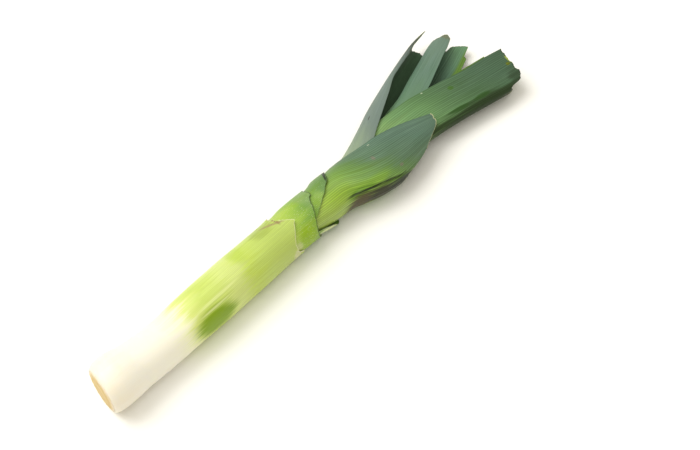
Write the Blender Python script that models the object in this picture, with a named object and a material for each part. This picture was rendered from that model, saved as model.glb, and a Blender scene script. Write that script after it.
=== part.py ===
"""A leek lying on a table: root plate, white shaft, two trimmed sheaths and a fan of folded leaves.

The leek lies along X with its root end at -X, and its leaves have their keels left (+Y) and right (-Y)
in turn. The origin is on the table under the shaft. Sizes below are millimetres, and x there is counted
from the root end; the meshes are written in metres.
"""

import math

import bpy
import numpy as np

MM = 0.001

# Driving dimensions.
ORIGIN_X = 100.0          # from the root end to the origin
WALL = 0.9                # thickness of a leaf
GAP = 0.3                 # clearance between neighbouring pieces
BULB_X = 12.0             # where the bulb is fullest
FLATTENING = 0.5          # how far the shaft's underside is pressed flat
ROOT_SLANT = 0.15         # the root's cut is oblique: it stands out by this share on the right
SLANT_X = (3.0, 25.0)     # where that slant fades

# The shaft: bulb, waist and collar, as radius and sideways bend along x.
SHAFT_X = (0, 1.2, 5, 12, 20, 28, 45, 60, 75, 104, 124, 141, 166, 182)
SHAFT_RADIUS = (16.6, 17.6, 18.9, 19.5, 18.9, 17.9, 17.3, 17.1, 17.5, 18.1, 18.1, 17.9, 17.6, 18.3)
BEND_X = (14, 28, 45, 60, 75, 90, 104, 124, 141, 166, 190, 200, 207, 212, 224, 300)
BEND_Y = (-0.4, -0.5, -1.05, -0.9, -0.1, 0.3, 0.7, 1.65, 2.15, 3.2, 4.3, 4.2, 3.9, 3.8, 3.8, 3.6)
SOCKET_X = 150.0          # the shaft is solid up to here, and a tube beyond
TUBE_START = 150.4        # the tubes inside stand just off the socket's floor

# Height of the leaves' middle above the table, drooping towards the tips.
MIDDLE_X = (166, 229, 260, 300, 350, 400, 425)
MIDDLE_Z = (17.1, 16.6, 16.4, 15.5, 14.0, 12.7, 12.2)

# Root plate: the stem's own disc, seated in a shallow recess.
RECESS_RADIUS = 15.7
RECESS_DEPTH = 2.0
PLATE_EDGE = -0.3
PLATE_CROWN = -1.8
PLATE_BEVEL = 0.4

# Rims of the three trimmed sheaths: how far each reaches, by the angle round the shaft in degrees,
# counted from the left side over the top.
RIM_ANGLE = (-180, -165, -150, -135, -105, -60, 0, 20, 50, 65, 75, 80, 95, 103, 110, 125, 140, 155, 170,
             180)
OUTER_RIM = (173, 178, 176, 173, 170, 169, 171, 171.5, 170, 171, 172.7, 174, 179, 181.5, 179.5, 176, 173,
             171.5, 171.5, 173)
SECOND_RIM = (193.2, 195, 197, 200, 204, 206, 208.5, 208.5, 206.3, 206.9, 206.3, 203.8, 201.1, 200.2,
              199.2, 196.8, 194.9, 193.5, 193, 193.2)
THIRD_RIM = (199, 210.5, 213.5, 217, 223, 228, 232, 232, 228, 226, 223.2, 220.6, 214.1, 210.1, 207.1,
             201.1, 195.5, 192, 192, 199)
SECOND_X = (150, 171, 178, 184, 192, 207)
SECOND_HALF_WIDTH = (15.6, 16.3, 16.95, 17.6, 17.7, 18.0)
SECOND_HALF_HEIGHT = (15.6, 15.8, 15.9, 16.1, 16.6, 16.8)
THIRD_X = (150, 178, 192, 200, 207, 212, 220, 226, 232)
THIRD_HALF_WIDTH = (14.3, 15.2, 16.1, 16.3, 16.6, 17.3, 19.3, 19.2, 18.6)
THIRD_HALF_HEIGHT = (14.3, 14.5, 15.0, 15.3, 15.5, 16.2, 17.0, 17.4, 17.6)

# The third sheath bulges low on the right, where its rim is longest.
EAR_HEIGHT = 1.0
EAR_ANGLE = 205.0
EAR_REACH = 22.0
EAR_X = (196.0, 206.0)

# The inner leaves' tubes share these stations, and their blades go on from the last one.
TUBE_X = (150.0, 190.0, 212.0, 224.0)
CLOSED = 178.0            # how far a tube's halves reach round from the keel, in degrees

# Fineness of the faces, and where rows of them lie along a piece.
AROUND = 32               # faces round the shaft
ACROSS = 20               # faces across a leaf
HEART_AROUND = 20
HEART_ROWS = 15
TUBE_ROWS = (TUBE_START, 170.0, 190.0, 202.0)
ROW_CROWDING = 1.15       # a blade's rows stand closer near its tube
BODY_ROWS = SHAFT_X[:-4]
COLLAR_ROWS = (-0.25, 0.25, 0.6, 0.85, 1.0)
LINING_ROWS = (1.0, 0.7, 0.35, 0.0)
SHEATH_ROWS = (0.0, 0.36, 0.6, 0.7, 0.8, 0.92, 1.0)
PLATE_RINGS = (0.32, 0.62, 0.86, 0.97)


def leaf(side, tube_radius, stations, keel, opening, up_width, up_height, low_width, low_height,
         end_at, end_x, rows, tube_height=None):
    """One folded leaf. Its tube is round, or as high as tube_height; its radius is to mid-thickness, and
    the blade's tables go on from the tube's.

    keel is the fold's y, opening the angle that each half spans, width and height the upper and the
    lower half's, and end_x the length of the blade at each place across it, from -1 to 1.
    """
    radius = np.array(tube_radius)
    height = radius if tube_height is None else np.array(tube_height)
    centre = curve(np.array(TUBE_X), BEND_X, BEND_Y)
    shape = {
        "keel": np.concatenate([centre + side * radius, keel]),
        "opening": np.concatenate([np.full(len(TUBE_X), CLOSED), opening]),
        "up_width": np.concatenate([2 * radius, up_width]),
        "up_height": np.concatenate([height, up_height]),
        "low_width": np.concatenate([2 * radius, low_width]),
        "low_height": np.concatenate([height, low_height]),
    }
    return {"side": side, "x": TUBE_X + stations, "shape": shape, "end": (end_at, end_x), "rows": rows}


def curve(x, knots, values):
    """Smooth curve through the knots. Its slope at a knot is the harmonic mean of its two neighbours'
    where they agree in sign, and nought where they don't, so it never swings past a value."""
    knots, values = np.asarray(knots, float), np.asarray(values, float)
    step = np.diff(knots)
    chord = np.diff(values) / step
    product = chord[:-1] * chord[1:]
    total = np.where(product > 0, chord[:-1] + chord[1:], 1.0)
    inner = np.where(product > 0, 2 * product / total, 0.0)
    slope = np.concatenate([chord[:1], inner, chord[-1:]])
    x = np.clip(x, knots[0], knots[-1])
    i = np.clip(np.searchsorted(knots, x, side="right") - 1, 0, len(step) - 1)
    t = (x - knots[i]) / step[i]
    rise = values[i] * (1 + 2 * t) * (1 - t) ** 2 + values[i + 1] * t ** 2 * (3 - 2 * t)
    return rise + step[i] * t * (1 - t) * (slope[i] * (1 - t) - slope[i + 1] * t)


def fade(x, start, end):
    """Smooth step from 0 at the start to 1 at the end."""
    t = np.clip((x - start) / (end - start), 0, 1)
    return t * t * (3 - 2 * t)


def middle_y(x):
    return curve(x, BEND_X, BEND_Y)


def middle_z(x):
    """The shaft's axis keeps its underside on the table; beyond it the leaves' middle droops."""
    on_table = curve(np.maximum(x, BULB_X), SHAFT_X, SHAFT_RADIUS) - FLATTENING
    return np.where(x < MIDDLE_X[0], on_table, curve(x, MIDDLE_X, MIDDLE_Z))


def section_points(x, half_width, half_height, angle, lowest=0.0):
    """Points of an oval section round the axis, none below the lowest height. Near the root the
    sections slant as the root's cut does."""
    across = half_width * np.cos(angle)
    slant = ROOT_SLANT * (1 - fade(x, *SLANT_X)) * across
    z = np.maximum(middle_z(x) + half_height * np.sin(angle), lowest)
    return np.stack(np.broadcast_arrays(x + slant, middle_y(x) + across, z), -1)


def leaf_points(spec, columns):
    """Middle surface of a folded leaf, one row of points for each place along it.

    A half is an arc of an ellipse from the keel: it goes in from the keel by depth times one minus the
    cosine, and up or down by height times the sine, over the leaf's opening angle.
    """
    v = np.linspace(-1, 1, columns + 1)[None, :]
    start = TUBE_X[2]
    tube_rows = np.array(TUBE_ROWS)[:, None] + 0 * v
    along = np.linspace(0, 1, spec["rows"])[:, None] ** ROW_CROWDING
    x = np.concatenate([tube_rows, start + along * (curve(v, *spec["end"]) - start)])
    table = {name: curve(x, spec["x"], values) for name, values in spec["shape"].items()}
    upper = np.broadcast_to(v >= 0, x.shape)
    width = np.where(upper, table["up_width"], table["low_width"])
    height = np.where(upper, table["up_height"], table["low_height"])
    opening = np.radians(table["opening"])
    angle = v * opening
    depth = width / (1 - np.cos(opening))
    y = table["keel"] - spec["side"] * depth * (1 - np.cos(angle))
    z = np.maximum(middle_z(x) + height * np.sin(angle), WALL / 2)
    return np.stack([x, y, z], -1)


def grid_faces(rows, columns, wrap):
    """Triangles of a grid of points, every square cut along the same diagonal."""
    faces = []
    for i in range(rows - 1):
        for j in range(columns if wrap else columns - 1):
            a, b = i * columns + j, i * columns + (j + 1) % columns
            faces += [(a, b, b + columns), (a, b + columns, a + columns)]
    return faces


def colour_material(name, colour, roughness):
    material = bpy.data.materials.new(name)
    material.use_nodes = True
    shader = material.node_tree.nodes["Principled BSDF"]
    shader.inputs["Base Color"].default_value = (*colour, 1.0)
    shader.inputs["Roughness"].default_value = roughness
    shader.inputs["Metallic"].default_value = 0.0
    return material


def add_object(name, points, faces, material):
    """One object from points in millimetres counted from the root end, with smooth shading."""
    place = (np.reshape(points, (-1, 3)) - (ORIGIN_X, 0, 0)) * MM
    mesh = bpy.data.meshes.new(name)
    mesh.from_pydata(place.tolist(), [], faces)
    mesh.materials.append(material)
    mesh.shade_smooth()
    mesh.set_sharp_from_angle(angle=math.radians(40))
    part = bpy.data.objects.new(name, mesh)
    bpy.context.scene.collection.objects.link(part)
    return part


def thicken(part):
    """Give a middle surface the leaf's thickness, half of it on each side."""
    solidify = part.modifiers.new("leaf thickness", "SOLIDIFY")
    solidify.thickness = WALL * MM
    solidify.offset = 0.0


def turned_solid(name, rows, first, last, material):
    """A closed body from rings of points, its two ends closed by fans to a point."""
    rings = np.array(rows)
    columns = rings.shape[1]
    faces = grid_faces(len(rows), columns, wrap=True)
    points = np.concatenate([rings.reshape(-1, 3), [first, last]])
    tail = len(points) - 2
    end = tail - columns
    for j in range(columns):
        k = (j + 1) % columns
        faces += [(tail, k, j), (tail + 1, end + j, end + k)]
    add_object(name, points, faces, material)


def section_angles(count):
    """Angles round a section, set so that the lowest face lies flat on the table."""
    return (np.arange(count) + 0.5) * 2 * math.pi / count


def rim(angle, reach):
    """Length of a trimmed sheath at each angle round it."""
    turn = np.degrees((angle + math.pi) % (2 * math.pi) - math.pi)
    return curve(turn, RIM_ANGLE, reach)


def make_shaft(material):
    """The outermost sheath: solid from the root to the socket, then a tube up to its trimmed rim."""
    angle = section_angles(AROUND)
    reach = rim(angle, OUTER_RIM)
    flat = np.ones(AROUND)

    def section(x, inset=0.0):
        radius = curve(x, SHAFT_X, SHAFT_RADIUS) - inset
        return section_points(x, radius, radius, angle)

    recess = section_points(RECESS_DEPTH * flat, RECESS_RADIUS, RECESS_RADIUS, angle)
    recess_edge = recess - (RECESS_DEPTH, 0, 0)
    body = [section(x * flat) for x in BODY_ROWS]
    collar = [section(SOCKET_X + share * (reach - SOCKET_X)) for share in COLLAR_ROWS]
    lining = [section(SOCKET_X + share * (reach - SOCKET_X), WALL) for share in LINING_ROWS]
    floor = lining[-1].mean(axis=0)
    seat = recess.mean(axis=0)
    turned_solid("outer_sheath", [recess, recess_edge, *body, *collar, *lining], seat, floor, material)


def make_root_plate(material):
    """A low dome of stem tissue, its edge just inside the shaft's recess."""
    angle = section_angles(AROUND)
    flat = np.ones(AROUND)
    radius = RECESS_RADIUS - GAP
    back = RECESS_DEPTH - GAP
    profile = [(PLATE_EDGE + (PLATE_CROWN - PLATE_EDGE) * (1 - s * s), radius * s) for s in PLATE_RINGS]
    profile += [(PLATE_EDGE + PLATE_BEVEL, radius), (back - PLATE_BEVEL, radius)]
    profile += [(back, radius - PLATE_BEVEL)]
    rows = [section_points(x * flat, r, r, angle) for x, r in profile]
    middle = (middle_y(0.0), middle_z(0.0))
    turned_solid("root_plate", rows, (PLATE_CROWN, *middle), (back, *middle), material)


def make_sheath(name, stations, half_width, half_height, reach, ear, material):
    """A closed tube with a trimmed rim, standing in the sheath outside it. Its ear is a bulge: a bell
    round its angle that sets in along x."""
    angle = section_angles(AROUND)
    end = rim(angle, reach)
    rows = []
    for share in SHEATH_ROWS:
        x = TUBE_START + share * (end - TUBE_START)
        bell = np.exp(-((np.degrees(angle) - EAR_ANGLE) / EAR_REACH) ** 2)
        inset = WALL / 2 - ear * bell * fade(x, *EAR_X)
        rows.append(section_points(x, curve(x, stations, half_width) - inset,
                                   curve(x, stations, half_height) - inset, angle, WALL / 2))
    thicken(add_object(name, rows, grid_faces(len(rows), AROUND, wrap=True), material))


def make_leaf(name, spec, material):
    points = leaf_points(spec, ACROSS)
    thicken(add_object(name, points, grid_faces(*points.shape[:2], wrap=False), material))


def make_heart_leaf(material):
    """The youngest leaf, still shut: a round rod in the shaft that flattens to a blade of two halves."""
    angle = section_angles(HEART_AROUND)
    end = curve(np.cos(angle), (-1, 1), HEART_END)
    rows = []
    for share in np.linspace(0, 1, HEART_ROWS):
        x = TUBE_START + share * (end - TUBE_START)
        y = curve(x, HEART_X, HEART_Y) + curve(x, HEART_X, HEART_HALF_WIDTH) * np.cos(angle)
        z = middle_z(x) + curve(x, HEART_X, HEART_HALF_THICKNESS) * np.sin(angle)
        rows.append(np.stack([x, y, z], -1))
    turned_solid("heart_leaf", rows, rows[0].mean(axis=0), rows[-1].mean(axis=0), material)


# Leaves from the outermost in. The right cut leaf wraps round all the others.
RIGHT_CUT_LEAF = leaf(
    side=-1, tube_radius=(12.55, 13.6, 15.0, 15.7), tube_height=(12.55, 12.85, 14.0, 14.7),
    rows=17,
    stations=(232, 240, 250, 262, 272, 285, 300, 328),
    keel=(-12.7, -15.6, -18.9, -21.4, -22.3, -21.2, -18.0, -12.0),
    opening=(163, 147, 132, 121, 114, 106, 98, 90),
    up_width=(33.1, 34.9, 36.2, 36.6, 36.6, 34.0, 27.6, 12.5),
    up_height=(15.2, 15.6, 15.6, 15.4, 15.0, 14.4, 13.5, 12.0),
    low_width=(32.0, 34.0, 36.0, 36.0, 35.0, 32.0, 27.6, 12.5),
    low_height=(15.2, 15.6, 15.9, 16.0, 15.8, 15.2, 14.5, 12.0),
    end_at=(-1, -0.6, -0.3, -0.1, 0, 0.05, 0.1, 0.25, 0.4, 0.6, 0.8, 1),
    end_x=(262, 272, 279, 276, 278, 286, 301, 310, 319, 326, 327, 328))

LEFT_OUTER_LEAF = leaf(
    side=1, tube_radius=(11.2, 11.5, 12.35, 12.9), rows=19,
    stations=(232, 240, 250, 262, 282, 300, 322, 340, 366, 380, 397),
    keel=(16.9, 18.8, 21.7, 25.7, 33.7, 41.5, 49.3, 55.2, 63.3, 67.2, 69.5),
    opening=(163, 145, 128, 112, 92, 86, 82, 80, 78, 76, 75),
    up_width=(25.9, 26.4, 26.2, 24.0, 17.6, 15.0, 10.2, 5.9, 5.5, 5.5, 1.6),
    up_height=(12.9, 12.8, 12.6, 12.2, 12.2, 12.0, 10.6, 9.4, 7.6, 5.0, 2.0),
    low_width=(25.9, 26.4, 26.4, 26.2, 26.0, 25.0, 24.0, 23.5, 21.0, 19.0, 17.0),
    low_height=(12.9, 12.8, 12.8, 12.7, 12.8, 13.8, 14.5, 14.2, 13.1, 12.7, 12.4),
    end_at=(-1, -0.6, -0.4, -0.25, -0.14, -0.06, 0.06, 0.2, 0.4, 0.6, 0.8, 1),
    end_x=(384, 382.5, 379.5, 377, 380, 392, 397, 392, 387, 381, 374, 366))

RIGHT_LONG_LEAF = leaf(
    side=-1, tube_radius=(9.9, 10.15, 10.9, 11.3), rows=20,
    stations=(232, 240, 250, 262, 282, 300, 322, 348, 374, 402, 423),
    keel=(-7.9, -8.6, -9.4, -10.0, -10.4, -10.4, -11.2, -14.0, -18.1, -22.9, -24.8),
    opening=(165, 147, 126, 111, 97, 90, 86, 84, 82, 80, 80),
    up_width=(23.0, 23.3, 24.0, 26.6, 31.8, 34.9, 35.2, 34.2, 33.4, 34.3, 32.6),
    up_height=(11.3, 11.0, 10.6, 10.0, 9.6, 9.9, 10.0, 10.0, 9.8, 9.5, 9.2),
    low_width=(23.0, 23.3, 24.0, 26.6, 31.0, 34.0, 34.5, 35.0, 35.0, 34.0, 33.0),
    low_height=(11.3, 11.0, 10.5, 9.8, 9.7, 10.4, 11.4, 12.2, 12.0, 11.5, 11.2),
    end_at=(-1, -0.6, -0.3, -0.1, 0, 0.05, 0.1, 0.22, 0.27, 0.34, 0.51, 0.6, 0.64, 0.84, 1),
    end_x=(410, 408, 403, 395, 393, 396, 397, 401, 408.8, 412, 414.9, 414, 415, 416.6, 419.5))

LEFT_INNER_LEAF = leaf(
    side=1, tube_radius=(8.55, 8.8, 9.3, 9.6), rows=19,
    stations=(232, 240, 250, 262, 282, 302, 327, 349, 367, 386, 396, 413),
    keel=(13.6, 14.3, 15.8, 18.4, 24.0, 28.9, 34.1, 42.2, 48.6, 55.4, 58.0, 63.0),
    opening=(165, 147, 126, 110, 96, 90, 87, 85, 85, 85, 85, 85),
    up_width=(19.3, 19.3, 19.0, 19.2, 19.6, 20.1, 19.8, 20.0, 18.5, 16.8, 15.8, 15.0),
    up_height=(9.4, 9.0, 8.2, 7.3, 6.8, 7.2, 7.6, 7.6, 7.3, 7.0, 6.7, 6.2),
    low_width=(19.3, 19.3, 19.0, 19.4, 21.5, 24.1, 27.5, 30.7, 32.2, 33.5, 32.0, 30.5),
    low_height=(9.4, 9.0, 8.2, 7.3, 6.7, 6.5, 6.2, 6.0, 5.8, 5.6, 5.5, 5.4),
    end_at=(-1, -0.944, -0.925, -0.85, -0.77, -0.7, -0.64, -0.6, -0.3, 0, 0.25, 0.47, 0.72, 0.915, 1),
    end_x=(402.5, 403.3, 413.4, 411, 408.2, 405.5, 402, 396, 394.5, 392, 393.5, 397, 403, 401.5, 392))

HEART_END = (394.0, 410.5)
HEART_X = (150, 190, 224, 240, 262, 290, 320, 360, 411)
HEART_Y = (2.5, 4.3, 3.8, 3.9, 4.6, 5.8, 7.7, 10.5, 8.0)
HEART_HALF_WIDTH = (7.7, 7.9, 8.4, 8.2, 7.8, 8.8, 10.5, 12.0, 9.5)
HEART_HALF_THICKNESS = (7.7, 7.9, 8.4, 7.2, 5.2, 3.8, 2.8, 2.0, 1.0)


def main():
    for old in list(bpy.data.objects):
        bpy.data.objects.remove(old, do_unlink=True)
    blade = colour_material("grey-green blade", (0.13, 0.24, 0.10), 0.55)
    young = colour_material("yellow-green blade", (0.32, 0.45, 0.08), 0.5)
    make_root_plate(colour_material("stem disc", (0.74, 0.58, 0.30), 0.8))
    make_shaft(colour_material("white sheath", (0.83, 0.84, 0.70), 0.35))
    green = colour_material("green sheath", (0.33, 0.48, 0.12), 0.45)
    make_sheath("second_sheath", SECOND_X, SECOND_HALF_WIDTH, SECOND_HALF_HEIGHT, SECOND_RIM, 0.0, green)
    make_sheath("third_sheath", THIRD_X, THIRD_HALF_WIDTH, THIRD_HALF_HEIGHT, THIRD_RIM, EAR_HEIGHT, green)
    make_leaf("right_cut_leaf", RIGHT_CUT_LEAF, blade)
    make_leaf("left_outer_leaf", LEFT_OUTER_LEAF, blade)
    make_leaf("right_long_leaf", RIGHT_LONG_LEAF, blade)
    make_leaf("left_inner_leaf", LEFT_INNER_LEAF, blade)
    make_heart_leaf(young)


main()
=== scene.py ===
"""Looks of a trimmed leek that lies on its side on a pale table.

Every piece is a fine surface worked out from the same measures as the solid that it stands for.
Lengths are millimetres, and x is counted from the root end, until a mesh is written in metres.
Left is +Y, right is -Y and up is +Z. Angles round the shaft start at the left and go over the top.
"""

import math

import bmesh
import bpy
import numpy as np
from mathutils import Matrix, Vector


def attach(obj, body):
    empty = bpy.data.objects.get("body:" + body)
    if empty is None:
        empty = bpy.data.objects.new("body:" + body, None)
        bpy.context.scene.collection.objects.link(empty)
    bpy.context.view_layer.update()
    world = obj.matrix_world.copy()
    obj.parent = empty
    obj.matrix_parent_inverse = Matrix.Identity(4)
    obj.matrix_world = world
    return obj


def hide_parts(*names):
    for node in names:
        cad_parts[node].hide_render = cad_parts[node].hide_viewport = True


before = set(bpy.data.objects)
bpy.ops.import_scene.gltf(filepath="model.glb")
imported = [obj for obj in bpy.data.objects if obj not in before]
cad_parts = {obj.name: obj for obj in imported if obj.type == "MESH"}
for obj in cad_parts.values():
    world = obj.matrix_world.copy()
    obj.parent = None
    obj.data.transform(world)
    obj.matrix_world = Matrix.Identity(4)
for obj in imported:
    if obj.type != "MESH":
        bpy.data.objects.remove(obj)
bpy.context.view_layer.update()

MM = 0.001

# Measures of the leek, the same as the solids'.
ORIGIN_X = 100.0          # from the root end to the origin
WALL = 0.9                # thickness of a leaf
GAP = 0.3                 # clearance between neighbouring pieces
BULB_X = 12.0             # where the bulb is fullest
FLATTENING = 0.5          # how far the shaft's underside is pressed flat
ROOT_SLANT = 0.15         # the root's cut is oblique: it stands out by this share on the right
SLANT_X = (3.0, 25.0)     # where that slant fades
SHAFT_X = (0, 1.2, 5, 12, 20, 28, 45, 60, 75, 104, 124, 141, 166, 182)
SHAFT_RADIUS = (16.6, 17.6, 18.9, 19.5, 18.9, 17.9, 17.3, 17.1, 17.5, 18.1, 18.1, 17.9, 17.6, 18.3)
# Sideways bend of the leek's axis.
BEND_X = (14, 28, 45, 60, 75, 90, 104, 124, 141, 166, 190, 200, 207, 212, 224, 300)
BEND_Y = (-0.4, -0.5, -1.05, -0.9, -0.1, 0.3, 0.7, 1.65, 2.15, 3.2, 4.3, 4.2, 3.9, 3.8, 3.8, 3.6)
SOCKET_X = 150.0          # the shaft is solid up to here, and a tube beyond
# Height of the axis beyond the shaft, where it droops.
MIDDLE_X = (166, 229, 260, 300, 350, 400, 425)
MIDDLE_Z = (17.1, 16.6, 16.4, 15.5, 14.0, 12.7, 12.2)
RECESS_RADIUS = 15.7      # of the hollow that the root's disc sits in
RECESS_DEPTH = 2.0
PLATE_EDGE = -0.3         # x of the disc's face at its edge
PLATE_CROWN = -1.8        # and at its middle
PLATE_BEVEL = 0.4
# Degrees round the sheaths, and how far each sheath's rim reaches there.
RIM_ANGLE = (-180, -165, -150, -135, -105, -60, 0, 20, 50, 65, 75, 80, 95, 103, 110, 125, 140, 155, 170,
             180)
OUTER_RIM = (173, 178, 176, 173, 170, 169, 171, 171.5, 170, 171, 172.7, 174, 179, 181.5, 179.5, 176, 173,
             171.5, 171.5, 173)
SECOND_RIM = (193.2, 195, 197, 200, 204, 206, 208.5, 208.5, 206.3, 206.9, 206.3, 203.8, 201.1, 200.2,
              199.2, 196.8, 194.9, 193.5, 193, 193.2)
THIRD_RIM = (199, 210.5, 213.5, 217, 223, 228, 232, 232, 228, 226, 223.2, 220.6, 214.1, 210.1, 207.1,
             201.1, 195.5, 192, 192, 199)
# The two sheaths that stand out of the shaft.
SECOND_SHEATH = {
    "x": (150, 171, 178, 184, 192, 207),
    "half_width": (15.6, 16.3, 16.95, 17.6, 17.7, 18.0),
    "half_height": (15.6, 15.8, 15.9, 16.1, 16.6, 16.8),
    "rim": SECOND_RIM, "ear": 0.0, "teeth": 0.35, "seed": 71,
}
THIRD_SHEATH = {
    "x": (150, 178, 192, 200, 207, 212, 220, 226, 232),
    "half_width": (14.3, 15.2, 16.1, 16.3, 16.6, 17.3, 19.3, 19.2, 18.6),
    "half_height": (14.3, 14.5, 15.0, 15.3, 15.5, 16.2, 17.0, 17.4, 17.6),
    "rim": THIRD_RIM, "ear": 1.0, "teeth": 0.4, "seed": 72,
}
EAR_ANGLE = 205.0         # an ear is a bulge low on the right
EAR_REACH = 22.0
EAR_X = (196.0, 206.0)
TUBE_X = (150.0, 190.0, 212.0, 224.0)      # where the leaves' tubes are measured
CLOSED = 178.0            # how far a tube's halves reach round from the keel, in degrees
TUBE_START = 150.4
BLADE_START = TUBE_X[2]
FREE_X = (232, 250)       # where a leaf comes out of the others
OPEN_X = (255, 300)       # where its margins come free to wave
HALF_LEAF = 46.0          # nominal width of half a leaf, from keel to margin
NOMINAL_RADIUS = 18.5     # for places across a round piece
FAR_FROM_CUT = 99.0       # distance that is given where no cut end is near

# Fineness of the surfaces.
SHAFT_COLUMNS = 480
EDGE_ROWS = 12            # over the root's round edge
EDGE_SHARE = 0.03         # share of the shaft's length that this edge takes
SHAFT_ROWS = 140          # beyond it
SOCKET_ROWS = (1, 0.97, 0.9, 0.8, 0.6, 0.3, 0.0)      # as shares of the socket's depth
SHEATH_COLUMNS = 336
SHEATH_ROWS = 60
PLATE_COLUMNS = 160
PLATE_ROWS = 44
HEART_COLUMNS = 120
HEART_ROWS = 90
LEAF_COLUMNS = 288
LEAF_ROWS = 96
TUBE_ROWS = 8
SHARP_EDGE = 50.0         # faces that meet at more degrees than this keep a sharp edge
WELD = 0.002              # points nearer than this are one point

# Wavers, which are slow or ragged waves.
OCTAVE_SHARE = 0.65       # height of each finer wave, next to the one before
WAVE_LENGTH = 200.0       # one turn of a waver that runs along the shaft
MARGIN_WAVES = 300.0      # one turn of the waver that lifts the margins

# Low relief of the round pieces: veins, lumps, and rims that dried ragged and thin.
SHAFT_VEINS = 53          # round the shaft, about 2.1 mm apart
VEIN_HEIGHT = 0.02
VEIN_SWAY = 1.5           # in radians
SHAFT_VEINS_X = (70, 110)      # where they set in
SHEATH_VEINS_X = (172, 180)
LUMP_HEIGHT = 0.18
LUMPS_X = (2, 12)
SHAFT_TEETH = 0.25        # height of the teeth all round the shaft's rim
DRIED_FROM = (5, 25)      # degrees round the rim where its dried stretch sets in
DRIED_TO = (80, 95)       # and where it ends
DRIED_TEETH = 0.7
PUCKER_HEIGHT = 0.45
SHAFT_RIM = 7.0           # length over which its wall thins towards the rim
SHAFT_RIM_WALL = 0.45
SHEATH_RIM = 5.0
SHEATH_RIM_WALL = 0.5

# The root's disc.
PLATE_FACE = 0.985        # share of the radius where its face ends
PLATE_TIP = 0.02          # share of the radius at its middle that is smooth
PLATE_RELIEF = 0.1
STUB_HEIGHT = 0.22
STUB_RINGS = 5
STUBS_SHARE = (0.35, 0.6)      # shares of the radius between which the root stubs set in

# Low relief of the leaves.
RIBS = 24                 # in half a leaf, about 1.9 mm apart
RIBS_END = 0.9            # share of half a leaf where they die out towards its margin
RIB_HEIGHT = 0.035
RIB_SWAY = 1.3            # in radians
RIB_CHANGE = 0.6          # share by which their height changes
RIB_INSIDE = 0.7          # share of their height that shows as furrows inside
KEEL_HEIGHT = 0.25
KEEL_REACH = 0.025        # as a share of half a leaf
THIN_EDGE = 0.4           # share of its thickness that a leaf keeps at its margin
MARGIN = 0.86             # share of half a leaf where its margin sets in
CUT_THINNING = 0.6        # how far the cut end thins, next to the margin
CUT_REACH = 3.0
# The crease low on the right cut leaf: its place across at each x.
CREASE_X = (229, 241, 252, 262, 272, 279)
CREASE_ACROSS = (6.9, 10.5, 11.5, 10.0, 9.0, 7.0)
CREASE_HEIGHT = 0.9       # of the bulge above the crease, and depth of the groove below
CREASE_REACH = 1.15
CREASE_PEAK = 2.33        # one over the peak of u times exp of minus u squared
CREASE_DECAY = 0.6        # share of its height that the crease loses towards its end


def curve(x, knots, values):
    """Smooth curve through the knots: cubic steps whose slope at a knot is the harmonic mean of its two
    neighbours' where they agree in sign, and nought where they don't."""
    knots, values = np.asarray(knots, float), np.asarray(values, float)
    step = np.diff(knots)
    chord = np.diff(values) / step
    product = chord[:-1] * chord[1:]
    total = np.where(product > 0, chord[:-1] + chord[1:], 1.0)
    inner = np.where(product > 0, 2 * product / total, 0.0)
    slope = np.concatenate([chord[:1], inner, chord[-1:]])
    x = np.clip(x, knots[0], knots[-1])
    i = np.clip(np.searchsorted(knots, x, side="right") - 1, 0, len(step) - 1)
    t = (x - knots[i]) / step[i]
    rise = values[i] * (1 + 2 * t) * (1 - t) ** 2 + values[i + 1] * t ** 2 * (3 - 2 * t)
    return rise + step[i] * t * (1 - t) * (slope[i] * (1 - t) - slope[i + 1] * t)


def fade(x, start, end):
    """Smooth step from 0 at the start to 1 at the end."""
    t = np.clip((x - start) / (end - start), 0, 1)
    return t * t * (3 - 2 * t)


def waver(turn, cycles, octaves, seed):
    """Seeded roughness from -1 to 1 that closes after one turn: a sum of sines with random phases, each
    with twice the cycles and OCTAVE_SHARE of the height of the one before."""
    heights = OCTAVE_SHARE ** np.arange(octaves)
    phases = np.random.default_rng(seed).uniform(0, 2 * math.pi, octaves)
    waves = [h * np.sin(2 * math.pi * cycles * 2 ** k * turn + p)
             for k, (h, p) in enumerate(zip(heights, phases))]
    return sum(waves) / heights.sum()


def middle_y(x):
    """Sideways bend of the leek's axis."""
    return curve(x, BEND_X, BEND_Y)


def middle_z(x):
    """Height of the axis: its underside is on the table along the shaft, and beyond it the axis droops."""
    on_table = curve(np.maximum(x, BULB_X), SHAFT_X, SHAFT_RADIUS) - FLATTENING
    return np.where(x < MIDDLE_X[0], on_table, curve(x, MIDDLE_X, MIDDLE_Z))


def oval(x, half_width, half_height, angle, lowest=0.0):
    """Points of oval sections round the axis, none below the lowest height. Near the root the sections
    slant as the root's cut does: each point moves along by a share of its place across."""
    across = half_width * np.cos(angle)
    slant = ROOT_SLANT * (1 - fade(x, *SLANT_X)) * across
    z = np.maximum(middle_z(x) + half_height * np.sin(angle), lowest)
    return np.stack(np.broadcast_arrays(x + slant, middle_y(x) + across, z), -1)


def ring(x, radius, angle):
    """Points of round sections."""
    return oval(x, radius, radius, angle)


def ring_angles(columns):
    """Angles once round, from the bottom by the right side, over the top and down the left side."""
    return np.radians(np.linspace(270.0, -90.0, columns + 1))[None, :]


def rim(angle, reach):
    """Length of a trimmed sheath at each angle round it."""
    return curve((np.degrees(angle) + 180) % 360 - 180, RIM_ANGLE, reach)


def flow_of(across, along):
    """Place across and along the leaf, in millimetres, for patterns that follow it."""
    return np.stack(np.broadcast_arrays(across, along), -1)


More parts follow.
